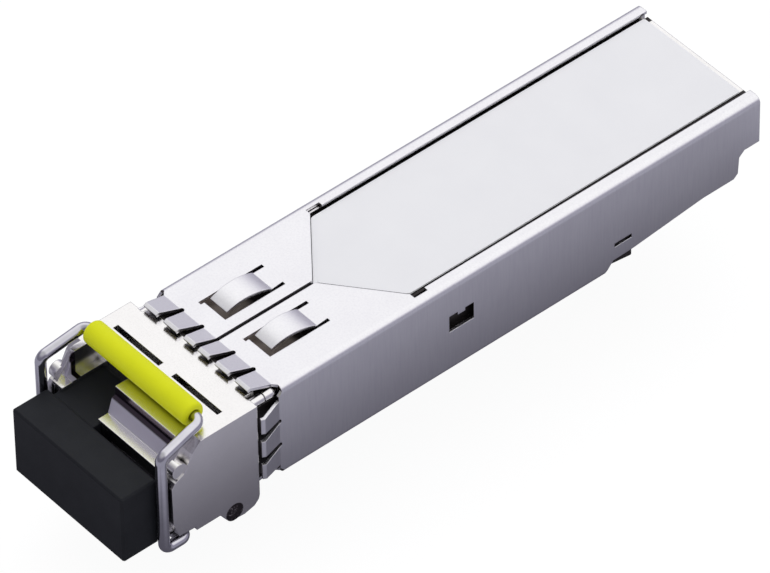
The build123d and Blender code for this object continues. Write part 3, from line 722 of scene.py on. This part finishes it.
def bare_label():
    """The plain label: a pad that fills the window, and a film that stops short of the chevron."""
    left, right, right_rear = LABEL_SIDES
    pad = (0.0, 0.0, LABEL_LOW, LABEL_PAD)
    film = (LABEL_INSET, LABEL_BORDER, LABEL_PAD, LABEL_TOP)
    shapes = []
    for inset, border, low, high in (pad, film):
        tip = LABEL_TIP - border * math.hypot(1, LABEL_SLOPE)
        rear = LABEL_REAR + inset
        x0, x1, x2 = left + inset, right - inset, right_rear - inset
        corners = (
            (x0, tip + x0 * LABEL_SLOPE),
            (0.0, tip),
            (x1, tip - x1 * LABEL_SLOPE),
            (x2, rear),
            (x0, rear),
        )
        points = [Vector((x, fwd(station), 0.0)) for x, station in corners]
        shapes.append(slab(rounded_outline(points, LABEL_CORNERS), low, high))
    label = smooth_piece("bare_label", shapes, "label", "module", "label_plate", sharp=20)


def pin_ends():
    """The peened ends of the rocker's pin, one in the lower lobe of each cheek."""
    for name, side in (("left", -1), ("right", 1)):
        sunk = side * (PIN_FACE - PIN_SUNK)
        profile = [(sunk, PIN_CENTRE), (sunk, PIN_RADIUS)]
        for turn in quarter_turn(5):
            x = side * (PIN_FACE + PIN_BULGE * math.sin(turn))
            profile.append((x, max(PIN_RADIUS * math.cos(turn), PIN_CENTRE)))
        if side > 0:
            profile.reverse()
        shapes = [turned(profile, PIN_STATION, PIN_HEIGHT)]
        end = smooth_piece("pin_end_" + name, shapes, "pin_end", "module")


def rear_hooks():
    """The tray's low tabs under the sleeve's raised edge on each side, dark through the casting's
    painted shade under the sleeve.
    """
    for name, side in (("left", -1), ("right", 1)):
        corners = [Vector((station, z, 0.0)) for station, z in HOOK_OUTLINE]
        outline = rounded_outline(corners, [HOOK_CORNER] * len(corners), 3)
        points, faces = slab(outline, *HOOK_SPAN)
        points = [Vector((side * p.z, fwd(p.x), p.y)) for p in points]
        if side > 0:
            faces = [tuple(reversed(face)) for face in faces]
        hook = smooth_piece("rear_hook_" + name, [(points, faces)], "plated_casting", "module")


bent_wire()
grip_sleeve()
bare_label()
pin_ends()
rear_hooks()


# Stage


def stage_floor():
    """Pale floor that keeps the module's shadow, with a painted shadow beside the module in
    reflections, low enough for the bail when it hangs down.
    """
    floor = Finish("stage_floor")
    seen, mirrored, through = floor.rays()
    x, y, z = floor.axes(floor.place())
    middle = (cad_low.y + cad_high.y) / 2 / MM
    beyond_side = x.size() - cad_high.x / MM
    beyond_end = (y - middle).size() - BODY_LENGTH / 2 - NOSE_MARGIN
    away = (beyond_side.most(beyond_end) - FLOOR_DROP + SHADE_START).most(0.0)
    open_floor = (away * (1 / SHADE_LENGTH)) ** SHADE_CURVE
    # Painted shadow, seen only in reflections: the floor is dark close beside the module and paler
    # further out.
    mirror_tone = floor.blend(open_floor, (0.094, 0.09, 0.118), (0.345, 0.34, 0.41))
    tone = floor.blend(mirrored, FLOOR_WHITE, mirror_tone)
    lift = (seen + through).least(1.0) * SEEN_LIFT + mirrored * MIRRORED_LIFT
    pale = floor.node("ShaderNodeBsdfDiffuse", None, {"Color": (0.86, 0.86, 0.88)})
    white = floor.node("ShaderNodeEmission", None, {"Color": tone})
    both = floor.node("ShaderNodeMixShader", None, {0: lift, 1: pale, 2: white})
    floor.tree.links.new(both.socket, floor.end.inputs["Surface"])
    mesh = bpy.data.meshes.new("stage_floor")
    height = cad_low.z - FLOOR_DROP * MM
    reach = FLOOR_REACH * MM
    corners = [(-reach, -reach), (reach, -reach), (reach, reach), (-reach, reach)]
    mesh.from_pydata([(x, y, height) for x, y in corners], [], [(0, 1, 2, 3)])
    plane = bpy.data.objects.new("stage_floor", mesh)
    bpy.context.scene.collection.objects.link(plane)
    mesh.materials.append(floor.material)


def soft_box(name, direction, distance, size, power):
    """A square soft box that looks at the module from this direction."""
    lamp = bpy.data.lights.new(name, "AREA")
    lamp.shape = "SQUARE"
    lamp.size = size
    lamp.energy = power
    box = bpy.data.objects.new(name, lamp)
    toward = Vector(direction).normalized()
    box.location = toward * distance
    box.rotation_mode = "QUATERNION"
    box.rotation_quaternion = toward.to_track_quat("Z", "Y")
    box.visible_glossy = False
    bpy.context.scene.collection.objects.link(box)


class Sky(Finish):
    """The world, with the same expressions as a finish."""

    def __init__(self, name):
        self.world = bpy.data.worlds.new(name)
        self.world.use_nodes = True
        self.tree = self.world.node_tree
        self.tree.nodes.clear()
        self.end = self.tree.nodes.new("ShaderNodeOutputWorld")


def studio_sky(fill):
    """White where it is seen, an even fill on matt surfaces, and a bright ceiling for metal."""
    sky = Sky("studio_sky")
    direct, mirrored, through = sky.rays()
    seen = (direct + through).least(1.0)
    x, y, z = sky.axes(sky.node("ShaderNodeTexCoord", output="Generated"))
    behind = y.above(-0.12, 0.24)
    ceiling = z.above(0.60 - 0.22 * behind, 0.25)
    horizon = 0.22 + 0.12 * behind
    studio = horizon + 0.74 * ceiling * (0.48 + 0.52 * behind)
    unseen = mirrored * studio + (1.0 - mirrored) * fill
    strength = seen + (1.0 - seen) * unseen
    hue = sky.blend(mirrored * (1.0 - ceiling), (1.0, 1.0, 1.0), (0.92, 0.88, 1.10))
    light = sky.node("ShaderNodeBackground", None, {"Color": hue, "Strength": strength})
    sky.tree.links.new(light.socket, sky.end.inputs["Surface"])
    sky.world.cycles.sampling_method = "NONE"
    bpy.context.scene.world = sky.world


def photo_camera():
    """Camera at the angle, distance and framing that were worked out from the photograph."""
    azimuth, elevation, roll = map(math.radians, (CAMERA_AZIMUTH, CAMERA_ELEVATION, CAMERA_ROLL))
    level = math.cos(elevation)
    back = Vector((math.sin(azimuth) * level, -math.cos(azimuth) * level, math.sin(elevation)))
    right = Vector((math.cos(azimuth), math.sin(azimuth), 0.0))
    up = back.cross(right)
    rolled_right = right * math.cos(roll) + up * math.sin(roll)
    rolled_up = up * math.cos(roll) - right * math.sin(roll)
    data = bpy.data.cameras.new("photo_camera")
    data.sensor_width = SENSOR
    data.lens = FOCAL_PIXELS / IMAGE_WIDTH * SENSOR
    data.clip_start, data.clip_end = 0.05, 20.0
    camera = bpy.data.objects.new("photo_camera", data)
    side, lift = CAMERA_OFFSET
    spot = Vector(CAMERA_AIM) - rolled_right * side - rolled_up * lift + back * CAMERA_DISTANCE
    turn = Matrix((rolled_right, rolled_up, back)).transposed()
    camera.matrix_world = Matrix.Translation(spot * MM) @ turn.to_4x4()
    bpy.context.scene.collection.objects.link(camera)
    bpy.context.scene.camera = camera


stage_floor()
studio_sky(fill=0.50)
soft_box("rear_box", (-0.45, 0.40, 0.80), distance=0.9, size=0.7, power=3.2)
soft_box("front_box", (0.60, -0.60, 0.55), distance=0.9, size=0.5, power=0.6)
photo_camera()

bpy.context.scene.view_settings.view_transform = "Standard"
bpy.context.view_layer.update()
